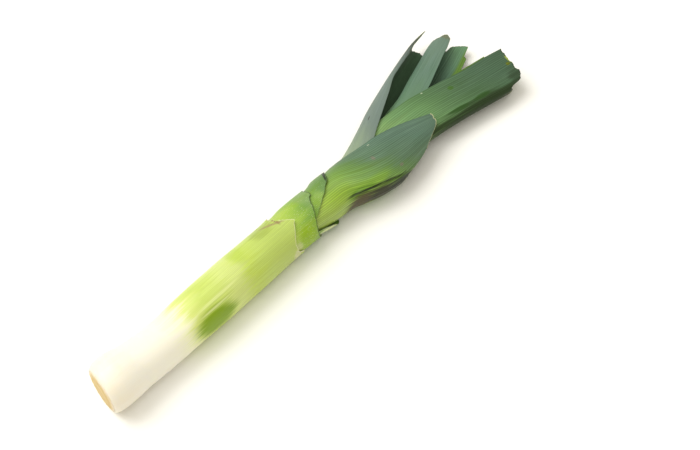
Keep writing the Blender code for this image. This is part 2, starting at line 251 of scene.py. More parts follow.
def add_piece(name, patches, materials, nodes):
    """One closed mesh from grid patches whose edges meet.

    A patch is (points, flow, cut, material number). Its faces look along the step down the rows crossed
    with the step along the columns. flow is each point's place across and along the leaf, and cut its
    distance from the cut end, or FAR_FROM_CUT where there is none near.
    """
    places, faces, flows, cuts, numbers = [], [], [], [], []
    start = 0
    for points, flow, cut, number in patches:
        rows, columns = points.shape[:2]
        corner = start + np.arange(rows - 1)[:, None] * columns + np.arange(columns - 1)[None, :]
        quads = np.stack([corner, corner + columns, corner + columns + 1, corner + 1], -1).reshape(-1, 4)
        places.append(points.reshape(-1, 3))
        flows.append(np.broadcast_to(flow, (rows, columns, 2)).reshape(-1, 2))
        cuts.append(np.broadcast_to(cut, (rows, columns)).reshape(-1))
        numbers.append(np.full(len(quads), number, np.int32))
        faces.append(quads)
        start += rows * columns
    faces = np.concatenate(faces)
    mesh = bpy.data.meshes.new(name)
    mesh.from_pydata((np.concatenate(places) - (ORIGIN_X, 0, 0)) * MM, [], faces.tolist())
    corner_flow = np.concatenate(flows)[faces.reshape(-1)].astype(np.float32)
    mesh.uv_layers.new(name="flow").data.foreach_set("uv", corner_flow.ravel())
    cut_from = mesh.attributes.new("cut", "FLOAT", "POINT")
    cut_from.data.foreach_set("value", np.concatenate(cuts).astype(np.float32))
    for material in materials:
        mesh.materials.append(material)
    mesh.polygons.foreach_set("material_index", np.concatenate(numbers))
    weld(mesh)
    mesh.shade_smooth()
    mesh.set_sharp_from_angle(angle=math.radians(SHARP_EDGE))
    piece = bpy.data.objects.new(name, mesh)
    bpy.context.scene.collection.objects.link(piece)
    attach(piece, "root")
    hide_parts(*nodes)


def weld(mesh):
    """Merge the points where patches meet and at poles, so that the mesh is closed."""
    work = bmesh.new()
    work.from_mesh(mesh)
    bmesh.ops.remove_doubles(work, verts=work.verts, dist=WELD * MM)
    work.to_mesh(mesh)
    work.free()


def veins_round(x, angle, seed):
    """Waves from -1 to 1 for the veins round a sheath, which sway a little as they run along it."""
    return np.cos(SHAFT_VEINS * angle + VEIN_SWAY * waver(x / WAVE_LENGTH, cycles=2, octaves=2, seed=seed))


def make_shaft(skin, cut_face):
    """The outermost sheath: bulb, shaft and collar as round sections with low veins, its rim puckered
    where it has dried, and the lining of its socket."""
    angle = ring_angles(SHAFT_COLUMNS)
    turn = angle / (2 * math.pi)
    degrees = np.degrees(angle)
    dried = fade(degrees, *DRIED_FROM) * (1 - fade(degrees, *DRIED_TO))
    teeth = SHAFT_TEETH * waver(turn, cycles=9, octaves=4, seed=3)
    reach = rim(angle, OUTER_RIM) + teeth + dried * DRIED_TEETH * waver(turn, cycles=25, octaves=3, seed=4)
    edge = np.linspace(0, EDGE_SHARE, EDGE_ROWS)[:-1]
    share = np.concatenate([edge, np.linspace(EDGE_SHARE, 1, SHAFT_ROWS)])[:, None]
    x = share * reach
    lumps = waver(turn, cycles=3, octaves=3, seed=6) * waver(x / WAVE_LENGTH, cycles=1, octaves=2, seed=7)
    near_rim = fade(x, reach - SHAFT_RIM, reach)
    radius = (curve(x, SHAFT_X, SHAFT_RADIUS)
              + fade(x, *SHAFT_VEINS_X) * VEIN_HEIGHT * veins_round(x, angle, seed=5)
              + fade(x, *LUMPS_X) * LUMP_HEIGHT * lumps
              + dried * near_rim * PUCKER_HEIGHT * waver(turn, cycles=22, octaves=3, seed=8))
    outer = ring(x, radius, angle)
    lining_x = SOCKET_X + np.array(SOCKET_ROWS)[:, None] * (reach - SOCKET_X)
    thick = WALL - (WALL - SHAFT_RIM_WALL) * fade(lining_x, reach - SHAFT_RIM, reach)
    lining_radius = curve(lining_x, SHAFT_X, SHAFT_RADIUS) - thick
    lining_radius[0] = radius[-1] - SHAFT_RIM_WALL
    lining = ring(lining_x, lining_radius, angle)
    recess_x = 0 * angle + np.array([RECESS_DEPTH, RECESS_DEPTH, 0])[:, None]
    recess = ring(recess_x, np.array([0, RECESS_RADIUS, RECESS_RADIUS])[:, None], angle)
    across = angle * NOMINAL_RADIUS
    floor = np.broadcast_to(lining[-1].mean(axis=0), lining[-1].shape)
    patches = [
        (recess, flow_of(across, recess_x), FAR_FROM_CUT, 1),
        (np.stack([recess[-1], outer[0]]), flow_of(across, [[0], [0]]), FAR_FROM_CUT, 1),
        (outer, flow_of(across, x), reach - x, 0),
        (np.stack([outer[-1], lining[0]]), flow_of(across, x[-1:]), 0.0, 1),
        (lining, flow_of(across, lining_x), reach - lining_x, 0),
        (np.stack([lining[-1], floor]), flow_of(across, lining_x[-1:]), FAR_FROM_CUT, 1),
    ]
    add_piece("shaft", patches, [skin, cut_face], ["outer_sheath"])


def make_root_plate(tissue):
    """The stem's disc: a low dome with faint rings, and the stubs of trimmed roots as low round bumps
    near its edge."""
    angle = ring_angles(PLATE_COLUMNS)
    turn = angle / (2 * math.pi)
    radius = RECESS_RADIUS - GAP
    back = RECESS_DEPTH - GAP
    share = np.linspace(0, PLATE_FACE, PLATE_ROWS)[:, None]
    rings = PLATE_RELIEF * waver(share, cycles=7, octaves=3, seed=11)
    relief = rings * waver(turn, cycles=2, octaves=3, seed=12)
    spots = waver(turn, cycles=13, octaves=2, seed=13) * np.sin(math.pi * share * STUB_RINGS)
    stubs = np.maximum(0, spots) * fade(share, *STUBS_SHARE)
    face_x = PLATE_EDGE + (PLATE_CROWN - PLATE_EDGE) * (1 - share ** 2) + relief - STUB_HEIGHT * stubs
    off_middle = fade(share, 0, PLATE_TIP)
    face_x = face_x * off_middle + PLATE_CROWN * (1 - off_middle)
    edge_x = np.array([PLATE_EDGE + PLATE_BEVEL, back - PLATE_BEVEL, back, back])[:, None] + 0 * angle
    edge_radius = np.array([radius, radius, radius - PLATE_BEVEL, 0])[:, None] + 0 * angle
    x = np.concatenate([face_x + 0 * angle, edge_x])
    radii = np.concatenate([share * radius + 0 * angle, edge_radius])
    points = ring(x, radii, angle)
    points[..., 1] += middle_y(0.0) - middle_y(x)
    patch = (points, flow_of(angle * NOMINAL_RADIUS, radii), FAR_FROM_CUT, 0)
    add_piece("root_disc", [patch], [tissue], ["root_plate"])


def make_sheath(name, node, spec, skin, cut_face):
    """A trimmed sheath: oval sections up to a toothed rim, with low veins, thinner at the rim. Its ear is
    a bulge: a bell round its angle that sets in along x."""
    angle = ring_angles(SHEATH_COLUMNS)
    seed = spec["seed"]
    teeth = spec["teeth"] * waver(angle / (2 * math.pi), cycles=21, octaves=4, seed=seed)
    end = rim(angle, spec["rim"]) + teeth
    x = TUBE_START + np.linspace(0, 1, SHEATH_ROWS)[:, None] * (end - TUBE_START)
    veins = fade(x, *SHEATH_VEINS_X) * VEIN_HEIGHT * veins_round(x, angle, seed + 1)
    bell = np.exp(-(((np.degrees(angle) + 360) % 360 - EAR_ANGLE) / EAR_REACH) ** 2)
    relief = veins + spec["ear"] * bell * fade(x, *EAR_X)
    width = curve(x, spec["x"], spec["half_width"]) + relief
    height = curve(x, spec["x"], spec["half_height"]) + relief
    thick = WALL - (WALL - SHEATH_RIM_WALL) * fade(x, end - SHEATH_RIM, end)
    outer = oval(x, width, height, angle)
    inner = oval(x, width - thick, height - thick, angle, WALL)[::-1]
    across = angle * NOMINAL_RADIUS
    patches = [
        (np.stack([inner[-1], outer[0]]), flow_of(across, x[:1]), FAR_FROM_CUT, 1),
        (outer, flow_of(across, x), end - x, 0),
        (np.stack([outer[-1], inner[0]]), flow_of(across, x[-1:]), 0.0, 1),
        (inner, flow_of(across, x[::-1]), (end - x)[::-1], 0),
    ]
    add_piece(name, patches, [skin, cut_face], [node])


def leaf(side, tube_radius, stations, keel, opening, up_width, up_height, low_width, low_height,
         end_at, end_x, teeth, wave, seed, tube_height=None):
    """One folded leaf, as keel line, opening angle, widths and heights along it, and its cut end.

    teeth is the height of the cut end's teeth, and wave the height of the margins' slow waves.
    """
    radius = np.array(tube_radius)
    height = radius if tube_height is None else np.array(tube_height)
    centre = curve(np.array(TUBE_X), BEND_X, BEND_Y)
    shape = {
        "keel": np.concatenate([centre + side * radius, keel]),
        "opening": np.concatenate([np.full(len(TUBE_X), CLOSED), opening]),
        "up_width": np.concatenate([2 * radius, up_width]),
        "up_height": np.concatenate([height, up_height]),
        "low_width": np.concatenate([2 * radius, low_width]),
        "low_height": np.concatenate([height, low_height]),
    }
    return {"side": side, "x": TUBE_X + stations, "shape": shape, "end": (end_at, end_x),
            "teeth": teeth, "wave": wave, "seed": seed}


def leaf_middle(spec):
    """Middle surface of a folded leaf. A half is an arc of an ellipse from the keel: it goes in by depth
    times one minus the cosine, and up or down by height times the sine, over the opening angle. Slow
    waves lift the margins. Returns the points, the place across, and the distance from the cut end."""
    seed = spec["seed"]
    v = np.linspace(-1, 1, LEAF_COLUMNS + 1)[None, :]
    end = curve(v, *spec["end"]) + spec["teeth"] * waver((v + 1) / 2, cycles=10, octaves=5, seed=seed)
    tube = np.linspace(TUBE_START, BLADE_START, TUBE_ROWS, endpoint=False)[:, None] + 0 * v
    x = np.concatenate([tube, BLADE_START + np.linspace(0, 1, LEAF_ROWS)[:, None] * (end - BLADE_START)])
    table = {name: curve(x, spec["x"], values) for name, values in spec["shape"].items()}
    upper = np.broadcast_to(v >= 0, x.shape)
    width = np.where(upper, table["up_width"], table["low_width"])
    height = np.where(upper, table["up_height"], table["low_height"])
    opening = np.radians(table["opening"])
    depth = width / (1 - np.cos(opening))
    y = table["keel"] - spec["side"] * depth * (1 - np.cos(v * opening))
    z = middle_z(x) + height * np.sin(v * opening)
    lift = fade(x, *OPEN_X) * spec["wave"] * np.abs(v) ** 3 * np.sign(v)
    z += lift * waver(x / MARGIN_WAVES, cycles=4, octaves=2, seed=seed + 1)
    z = np.maximum(z, WALL / 2)
    return np.stack([x, y, z], -1), v * HALF_LEAF, end - x


def crease_relief(across, x):
    """Relief of the fold low on the right cut leaf: height times u times exp of minus u squared, where u is
    the distance above the crease's line over its reach. It swells in and dies out along the leaf."""
    u = (across - curve(x, CREASE_X, CREASE_ACROSS)) / CREASE_REACH
    swell = fade(x, CREASE_X[0], CREASE_X[1])
    along = swell * (1 - CREASE_DECAY * fade(x, CREASE_X[-2], CREASE_X[-1]))
    return CREASE_PEAK * CREASE_HEIGHT * along * u * np.exp(-u ** 2)


def make_leaf(name, node, spec, materials, creased=False):
    """A folded leaf with an outer and an inner skin on either side of its middle surface. Ribs run
    lengthwise on the outer skin, and the leaf thins towards its margins and its cut end. The materials
    are those of the outer skin, the inner skin and the cut."""
    middle, across, cut = leaf_middle(spec)
    x = middle[..., 0]
    normal = np.cross(np.gradient(middle, axis=0), np.gradient(middle, axis=1))
    normal *= -spec["side"] / np.maximum(np.linalg.norm(normal, axis=-1, keepdims=True), 1e-9)
    v = across / HALF_LEAF
    free = fade(x, *FREE_X)
    thinning = np.maximum(fade(np.abs(v), MARGIN, 1), CUT_THINNING * (1 - fade(cut, 0, CUT_REACH)))
    thick = WALL * (1 - (1 - THIN_EDGE) * free * thinning)
    sway = RIB_SWAY * waver(v / 2, cycles=5, octaves=3, seed=spec["seed"] + 2)
    rib = free * RIB_HEIGHT * np.cos(2 * math.pi * RIBS * v + sway) * (1 - fade(np.abs(v), RIBS_END, 1))
    rib = rib * (1 + RIB_CHANGE * waver(v / 2, cycles=9, octaves=2, seed=spec["seed"] + 3))
    keel = free * KEEL_HEIGHT * np.exp(-(v / KEEL_REACH) ** 2)
    if creased:
        middle = middle + normal * crease_relief(across, x)[..., None]
    outer = middle + normal * (thick / 2 + rib + keel)[..., None]
    inner = middle - normal * (thick / 2 - RIB_INSIDE * rib)[..., None]
    for skin in (outer, inner):
        skin[..., 2] = np.maximum(skin[..., 2], 0)
    flow = flow_of(across, x)
    if spec["side"] > 0:
        outer, inner, flow, cut = outer[:, ::-1], inner[:, ::-1], flow[:, ::-1], cut[:, ::-1]
    patches = [
        (outer, flow, cut, 0),
        (inner[:, ::-1], flow[:, ::-1], cut[:, ::-1], 1),
        (np.stack([inner[:, 0], outer[:, 0]], 1), flow[:, :1], cut[:, :1], 0),
        (np.stack([outer[:, -1], inner[:, -1]], 1), flow[:, -1:], cut[:, -1:], 0),
        (np.stack([outer[-1], inner[-1]]), flow[-1:], 0.0, 2),
        (np.stack([inner[0], outer[0]]), flow[:1], FAR_FROM_CUT, 2),
    ]
    add_piece(name, patches, materials, [node])


def make_heart_leaf(skin):
    """The youngest leaf, still shut: a rod in the shaft that flattens to an ellipse, with low ribs and a
    groove on its left edge where its two halves meet."""
    angle = ring_angles(HEART_COLUMNS)
    teeth = HEART_TEETH * waver(angle / (2 * math.pi), cycles=7, octaves=4, seed=21)
    end = curve(np.cos(angle), (-1, 1), HEART_END) + teeth
    x = TUBE_START + np.linspace(0, 1, HEART_ROWS)[:, None] * (end - TUBE_START)
    half_width = curve(x, HEART_X, HEART_HALF_WIDTH)
    half_thickness = curve(x, HEART_X, HEART_HALF_THICKNESS)
    rib = 1 + HEART_RIB_SHARE * np.cos(HEART_RIBS * angle)
    groove = 1 - GROOVE_SHARE * fade(x, *GROOVE_X) * np.exp(-(angle / GROOVE_REACH) ** 2)
    y = curve(x, HEART_X, HEART_Y) + half_width * np.cos(angle) * rib * groove
    z = middle_z(x) + half_thickness * np.sin(angle) * rib
    points = np.stack([x, y, z], -1)
    across = angle * NOMINAL_RADIUS
    first, last = (np.broadcast_to(row.mean(axis=0), row.shape) for row in (points[0], points[-1]))
    patches = [
        (np.stack([first, points[0]]), flow_of(across, x[:1]), FAR_FROM_CUT, 0),
        (points, flow_of(across, x), end - x, 0),
        (np.stack([points[-1], last]), flow_of(across, x[-1:]), 0.0, 0),
    ]
    add_piece("heart_blade", patches, [skin], ["heart_leaf"])


# Leaves from the outermost in. The right cut leaf wraps round all the others.
RIGHT_CUT_LEAF = leaf(
    side=-1, tube_radius=(12.55, 13.6, 15.0, 15.7), tube_height=(12.55, 12.85, 14.0, 14.7),
    stations=(232, 240, 250, 262, 272, 285, 300, 328),
    keel=(-12.7, -15.6, -18.9, -21.4, -22.3, -21.2, -18.0, -12.0),
    opening=(163, 147, 132, 121, 114, 106, 98, 90),
    up_width=(33.1, 34.9, 36.2, 36.6, 36.6, 34.0, 27.6, 12.5),
    up_height=(15.2, 15.6, 15.6, 15.4, 15.0, 14.4, 13.5, 12.0),
    low_width=(32.0, 34.0, 36.0, 36.0, 35.0, 32.0, 27.6, 12.5),
    low_height=(15.2, 15.6, 15.9, 16.0, 15.8, 15.2, 14.5, 12.0),
    end_at=(-1, -0.6, -0.3, -0.1, 0, 0.05, 0.1, 0.25, 0.4, 0.6, 0.8, 1),
    end_x=(262, 272, 279, 276, 278, 286, 301, 310, 319, 326, 327, 328),
    teeth=0.7, wave=0.0, seed=31)

LEFT_OUTER_LEAF = leaf(
    side=1, tube_radius=(11.2, 11.5, 12.35, 12.9),
    stations=(232, 240, 250, 262, 282, 300, 322, 340, 366, 380, 397),
    keel=(16.9, 18.8, 21.7, 25.7, 33.7, 41.5, 49.3, 55.2, 63.3, 67.2, 69.5),
    opening=(163, 145, 128, 112, 92, 86, 82, 80, 78, 76, 75),
    up_width=(25.9, 26.4, 26.2, 24.0, 17.6, 15.0, 10.2, 5.9, 5.5, 5.5, 1.6),
    up_height=(12.9, 12.8, 12.6, 12.2, 12.2, 12.0, 10.6, 9.4, 7.6, 5.0, 2.0),
    low_width=(25.9, 26.4, 26.4, 26.2, 26.0, 25.0, 24.0, 23.5, 21.0, 19.0, 17.0),
    low_height=(12.9, 12.8, 12.8, 12.7, 12.8, 13.8, 14.5, 14.2, 13.1, 12.7, 12.4),
    end_at=(-1, -0.6, -0.4, -0.25, -0.14, -0.06, 0.06, 0.2, 0.4, 0.6, 0.8, 1),
    end_x=(384, 382.5, 379.5, 377, 380, 392, 397, 392, 387, 381, 374, 366),
    teeth=0.5, wave=0.3, seed=41)

RIGHT_LONG_LEAF = leaf(
    side=-1, tube_radius=(9.9, 10.15, 10.9, 11.3),
    stations=(232, 240, 250, 262, 282, 300, 322, 348, 374, 402, 423),
    keel=(-7.9, -8.6, -9.4, -10.0, -10.4, -10.4, -11.2, -14.0, -18.1, -22.9, -24.8),
    opening=(165, 147, 126, 111, 97, 90, 86, 84, 82, 80, 80),
    up_width=(23.0, 23.3, 24.0, 26.6, 31.8, 34.9, 35.2, 34.2, 33.4, 34.3, 32.6),
    up_height=(11.3, 11.0, 10.6, 10.0, 9.6, 9.9, 10.0, 10.0, 9.8, 9.5, 9.2),
    low_width=(23.0, 23.3, 24.0, 26.6, 31.0, 34.0, 34.5, 35.0, 35.0, 34.0, 33.0),
    low_height=(11.3, 11.0, 10.5, 9.8, 9.7, 10.4, 11.4, 12.2, 12.0, 11.5, 11.2),
    end_at=(-1, -0.6, -0.3, -0.1, 0, 0.05, 0.1, 0.22, 0.27, 0.34, 0.51, 0.6, 0.64, 0.84, 1),
    end_x=(410, 408, 403, 395, 393, 396, 397, 401, 408.8, 412, 414.9, 414, 415, 416.6, 419.5),
    teeth=0.8, wave=0.35, seed=51)

LEFT_INNER_LEAF = leaf(
    side=1, tube_radius=(8.55, 8.8, 9.3, 9.6),
    stations=(232, 240, 250, 262, 282, 302, 327, 349, 367, 386, 396, 413),
    keel=(13.6, 14.3, 15.8, 18.4, 24.0, 28.9, 34.1, 42.2, 48.6, 55.4, 58.0, 63.0),
    opening=(165, 147, 126, 110, 96, 90, 87, 85, 85, 85, 85, 85),
    up_width=(19.3, 19.3, 19.0, 19.2, 19.6, 20.1, 19.8, 20.0, 18.5, 16.8, 15.8, 15.0),
    up_height=(9.4, 9.0, 8.2, 7.3, 6.8, 7.2, 7.6, 7.6, 7.3, 7.0, 6.7, 6.2),
    low_width=(19.3, 19.3, 19.0, 19.4, 21.5, 24.1, 27.5, 30.7, 32.2, 33.5, 32.0, 30.5),
    low_height=(9.4, 9.0, 8.2, 7.3, 6.7, 6.5, 6.2, 6.0, 5.8, 5.6, 5.5, 5.4),
    end_at=(-1, -0.944, -0.925, -0.85, -0.77, -0.7, -0.64, -0.6, -0.3, 0, 0.25, 0.47, 0.72, 0.915, 1),
    end_x=(402.5, 403.3, 413.4, 411, 408.2, 405.5, 402, 396, 394.5, 392, 393.5, 397, 403, 401.5, 392),
    teeth=0.5, wave=0.25, seed=61)

HEART_END = (394.0, 410.5)
HEART_X = (150, 190, 224, 240, 262, 290, 320, 360, 411)
HEART_Y = (2.5, 4.3, 3.8, 3.9, 4.6, 5.8, 7.7, 10.5, 8.0)
HEART_HALF_WIDTH = (7.7, 7.9, 8.4, 8.2, 7.8, 8.8, 10.5, 12.0, 9.5)
HEART_HALF_THICKNESS = (7.7, 7.9, 8.4, 7.2, 5.2, 3.8, 2.8, 2.0, 1.0)
HEART_TEETH = 0.5
HEART_RIBS = 34
HEART_RIB_SHARE = 0.012   # height of the ribs, as a share of the radius
GROOVE_SHARE = 0.05       # depth of the groove, as a share of the half width
GROOVE_X = (230, 260)
GROOVE_REACH = 0.12       # in radians


def linear(hex_colour):
    """Linear colour of an sRGB hex value."""
    parts = [int(hex_colour[i:i + 2], 16) / 255 for i in (1, 3, 5)]
    return (*(p / 12.92 if p <= 0.04045 else ((p + 0.055) / 1.055) ** 2.4 for p in parts), 1.0)


def add_node(tree, kind, inputs=(), stops=(), **settings):
    """Add one shader node. Each input, by name or number, takes a value or the output that feeds it;
    settings are the node's own properties, and stops are a colour ramp's (place, hex colour) pairs."""
    made = tree.nodes.new("ShaderNode" + kind)
    for name, value in settings.items():
        setattr(made, name, value)
    for socket, value in dict(inputs).items():
        if isinstance(value, bpy.types.NodeSocket):
            tree.links.new(value, made.inputs[socket])
        else:
            made.inputs[socket].default_value = value
    if stops:
        ramp = made.color_ramp.elements
        while len(ramp) < len(stops):
            ramp.new(1.0)
        for element, (place, colour) in zip(ramp, stops):
            element.position = place
            element.color = linear(colour)
    return made


def new_material(name):
    """An empty node material and its tree."""
    material = bpy.data.materials.new(name)
    material.use_nodes = True
    material.node_tree.nodes.clear()
    return material, material.node_tree


def close_material(tree, colour, roughness, normal, **values):
    """End a material in its shader, with plain values on the shader's own sockets."""
    sockets = {"Base Color": colour, "Roughness": roughness, "Normal": normal}
    sockets.update({name.replace("_", " "): value for name, value in values.items()})
    shader = add_node(tree, "BsdfPrincipled", sockets)
    add_node(tree, "OutputMaterial", {"Surface": shader.outputs[0]})


# Patterns of the skins. The first four are scales, per millimetre across and along a leaf.
FINE_STREAKS = (0.8, 0.018, 1.0)       # about 1 mm wide and 60 mm long
BROAD_STREAKS = (0.12, 0.02, 1.0)      # about 8 mm wide and 50 mm long
WAX_CLOUDS = (0.1, 0.035, 1.0)         # about 10 mm wide and 30 mm long
SPECKS = (0.85, 0.4, 1.0)              # cells about 1.2 mm wide and 2.5 mm long
SPECK_COLOUR = "#CBD6A8"
STREAK_SHIFT = 26.0                    # millimetres that streaks shift the colour by
MARK_RAGGED = 0.9                      # how far streaks break a mark's edge
MARK_START = 1.15                      # share of its reach where a mark sets in
MARK_FULL = 0.5                        # share of its reach where it is full
BAND_PERIOD = 0.314                    # bands of scale 1 repeat after this length
VEINS_SET_IN = 25.0                    # half the length over which they set in
FAINT = 0.1                            # share of the veins that shows before they set in
DRIED = 0.85                           # how far the dried edge covers what is under it
GLOSS_CHANGE = 0.07                    # by which roughness varies from streak to streak
BUMP_STRENGTH = 1.4                    # of the veins' bump, for a vein depth of 1
SKIN_BUMP = 0.0001                     # metres
FLESH_RADIUS = (1.0, 0.9, 0.4)         # light goes further into the flesh in red and green
FLESH_DEPTH = 0.003                    # metres


def skin_colour(tree, stops, slant, place, blur):
    """Colour that runs along the leaf through the stops, shifted back and forth by the streaks."""
    first, last = stops[0][0], stops[-1][0]
    shift = add_node(tree, "Math", {0: blur, 1: STREAK_SHIFT, 2: -STREAK_SHIFT},
                     operation="MULTIPLY_ADD").outputs[0]
    shifted = add_node(tree, "Math", {0: place.outputs[1], 1: shift}, operation="ADD").outputs[0]
    sideways = add_node(tree, "Math", {0: place.outputs[0]}, operation="ABSOLUTE").outputs[0]
    slanted = add_node(tree, "Math", {0: sideways, 1: slant, 2: shifted}, operation="MULTIPLY_ADD").outputs[0]
    share = add_node(tree, "MapRange", {0: slanted, 1: first, 2: last, 3: 0.0, 4: 1.0}).outputs[0]
    spread = [((x - first) / (last - first), colour) for x, colour in stops]
    return add_node(tree, "ValToRGB", {0: share}, stops=spread).outputs[0]


def add_bloom(tree, colour, flow, wax, share):
    """Mix soft patches of wax bloom into a colour."""
    cloud = add_node(tree, "VectorMath", {0: flow, 1: WAX_CLOUDS}, operation="MULTIPLY").outputs[0]
    clouds = add_node(tree, "TexNoise", {"Vector": cloud, "Scale": 1.0, "Detail": 5.0}).outputs[0]
    waxy = add_node(tree, "MapRange", {0: clouds, 1: 0.35, 2: 0.7, 3: 0.0, 4: share}).outputs[0]
    return add_node(tree, "Mix", {0: waxy, 6: colour, 7: linear(wax)}, data_type="RGBA").outputs[2]


def add_marks(tree, colour, marks, flow, blur):
    """Mix soft spots into a colour, each an ellipse with an edge broken by the streaks. A mark is (colour,
    x, reach along, across, reach across, strength, slant): slant is how fast it drifts across."""
    for mark, x, reach, middle, half, strength, slant in marks:
        offset = add_node(tree, "VectorMath", {0: flow, 1: (middle, x, 0.0)}, operation="SUBTRACT").outputs[0]
        side = add_node(tree, "VectorMath", {0: offset, 1: (1 / half, -slant / half, 0.0)},
                        operation="DOT_PRODUCT").outputs[1]
        run = add_node(tree, "VectorMath", {0: offset, 1: (0.0, 1 / reach, 0.0)},
                       operation="DOT_PRODUCT").outputs[1]
        scaled = add_node(tree, "CombineXYZ", {0: side, 1: run}).outputs[0]
        far = add_node(tree, "VectorMath", {0: scaled}, operation="LENGTH").outputs[1]
        ragged = add_node(tree, "Math", {0: blur, 1: MARK_RAGGED, 2: -MARK_RAGGED},
                          operation="MULTIPLY_ADD").outputs[0]
        edge_at = add_node(tree, "Math", {0: far, 1: ragged}, operation="ADD").outputs[0]
        amount = add_node(tree, "MapRange", {0: edge_at, 1: MARK_START, 2: MARK_FULL, 3: 0.0, 4: strength},
                          interpolation_type="SMOOTHSTEP").outputs[0]
        colour = add_node(tree, "Mix", {0: amount, 6: colour, 7: linear(mark)}, data_type="RGBA").outputs[2]
    return colour


def add_specks(tree, colour, flow, strength):
    """Mix pale specks into a colour, about 0.4 mm wide and 0.8 mm long, in two cells of five."""
    scaled = add_node(tree, "VectorMath", {0: flow, 1: SPECKS}, operation="MULTIPLY").outputs[0]
    cell = add_node(tree, "TexVoronoi", {"Vector": scaled, "Scale": 1.0}, voronoi_dimensions="2D")
    dots = add_node(tree, "MapRange", {0: cell.outputs[0], 1: 0.24, 2: 0.08, 3: 0.0, 4: strength}).outputs[0]
    lot = add_node(tree, "SeparateColor", {0: cell.outputs[1]}).outputs[0]
    chosen = add_node(tree, "Math", {0: lot, 1: 0.6}, operation="GREATER_THAN").outputs[0]
    amount = add_node(tree, "Math", {0: dots, 1: chosen}, operation="MULTIPLY").outputs[0]
    pale = linear(SPECK_COLOUR)
    return add_node(tree, "Mix", {0: amount, 6: colour, 7: pale}, data_type="RGBA").outputs[2]


def vein_lines(tree, flow, patches, spacing):
    """Fine lines that run lengthwise, a little uneven in their spacing, in millimetres."""
    drift = add_node(tree, "CombineXYZ", {0: patches}).outputs[0]
    bent = add_node(tree, "VectorMath", {0: drift, 1: (2.0, 0.0, 0.0), 2: flow},
                    operation="MULTIPLY_ADD").outputs[0]
    return add_node(tree, "TexWave", {"Vector": bent, "Scale": BAND_PERIOD / spacing, "Distortion": 0.0},
                    wave_type="BANDS", bands_direction="X").outputs[1]


def add_veins(tree, colour, veins, streaks, seen, depth, streak):
    """Darken a colour between the veins and vary it from streak to streak, by as much as is seen there."""
    lines = add_node(tree, "Math", {0: veins, 1: streaks}, operation="MULTIPLY").outputs[0]
    tint = add_node(tree, "MapRange", {0: lines, 1: 0.05, 2: 0.6, 3: 1.0 - depth, 4: 1.0 + depth * 0.5})
    light = add_node(tree, "MapRange", {0: streaks, 1: 0.25, 2: 0.75, 3: 1.0 - streak, 4: 1.0 + streak})
    both = add_node(tree, "Math", {0: tint.outputs[0], 1: light.outputs[0]}, operation="MULTIPLY").outputs[0]
    grey = add_node(tree, "CombineColor", {0: both, 1: both, 2: both}).outputs[0]
    return add_node(tree, "Mix", {0: seen, 6: colour, 7: grey}, data_type="RGBA",
                    blend_type="MULTIPLY").outputs[2]


def add_dried_edge(tree, colour, dry_colour, width):
    """Mix a narrow line of dried tissue into a colour along the cut edge."""
    cut = add_node(tree, "Attribute", attribute_name="cut").outputs["Fac"]
    dry = add_node(tree, "MapRange", {0: cut, 1: width, 2: width * 0.3, 3: 0.0, 4: DRIED}).outputs[0]
    return add_node(tree, "Mix", {0: dry, 6: colour, 7: linear(dry_colour)}, data_type="RGBA").outputs[2]


def leaf_skin(name, stops, streak, vein_spacing, vein_depth, edge, roughness, slant=0.0, marks=(),
              rim_marks=(), veins_from=-100, edge_width=0.8, bloom=None, specks=0.0, translucent=0.0):
    """Fresh leek leaf. Its cuticle is a thin wax, so it has a soft satin gloss; its colour runs along the
    leaf from where the light reached it, in streaks that follow the veins.

    stops are (place, colour), and a place is x plus slant times the distance from the keel. marks and
    rim_marks are spots such as scars, deeper green, painted shade and painted shadow lines, the latter
    over the dried edge. bloom is the colour and share of the bluish wax near the tips, and specks the
    strength of small pale ones. The veins show from about veins_from on.
    """
    material, tree = new_material(name)
    flow = add_node(tree, "UVMap", uv_map="flow").outputs[0]
    place = add_node(tree, "SeparateXYZ", {0: flow})
    fibre = add_node(tree, "VectorMath", {0: flow, 1: FINE_STREAKS}, operation="MULTIPLY").outputs[0]
    streaks = add_node(tree, "TexNoise", {"Vector": fibre, "Scale": 1.0, "Detail": 3.0}).outputs[0]
    broad = add_node(tree, "VectorMath", {0: flow, 1: BROAD_STREAKS}, operation="MULTIPLY").outputs[0]
    patches = add_node(tree, "TexNoise", {"Vector": broad, "Scale": 1.0, "Detail": 2.0}).outputs[0]
    blur = add_node(tree, "Math", {0: streaks, 1: patches}, operation="ADD").outputs[0]

    colour = skin_colour(tree, stops, slant, place, blur)
    if bloom:
        colour = add_bloom(tree, colour, flow, *bloom)
    colour = add_marks(tree, colour, marks, flow, blur)
    if specks:
        colour = add_specks(tree, colour, flow, specks)
    veins = vein_lines(tree, flow, patches, vein_spacing)
    seen = add_node(tree, "MapRange", {0: place.outputs[1], 1: veins_from - VEINS_SET_IN,
                                       2: veins_from + VEINS_SET_IN, 3: FAINT, 4: 1.0}).outputs[0]
    colour = add_veins(tree, colour, veins, streaks, seen, vein_depth, streak)
    colour = add_dried_edge(tree, colour, edge, edge_width)
    colour = add_marks(tree, colour, rim_marks, flow, blur)

    lines = add_node(tree, "Math", {0: veins, 1: streaks}, operation="ADD").outputs[0]
    ridges = add_node(tree, "Math", {0: lines, 1: seen}, operation="MULTIPLY").outputs[0]
    bump = add_node(tree, "Bump", {"Height": ridges, "Strength": BUMP_STRENGTH * vein_depth,
                                   "Distance": SKIN_BUMP}).outputs[0]
    gloss = add_node(tree, "MapRange", {0: streaks, 1: 0.2, 2: 0.8, 3: roughness - GLOSS_CHANGE,
                                        4: roughness + GLOSS_CHANGE}).outputs[0]
    close_material(tree, colour, gloss, bump, IOR=1.45, Subsurface_Weight=translucent,
                   Subsurface_Radius=FLESH_RADIUS, Subsurface_Scale=FLESH_DEPTH)
    return material


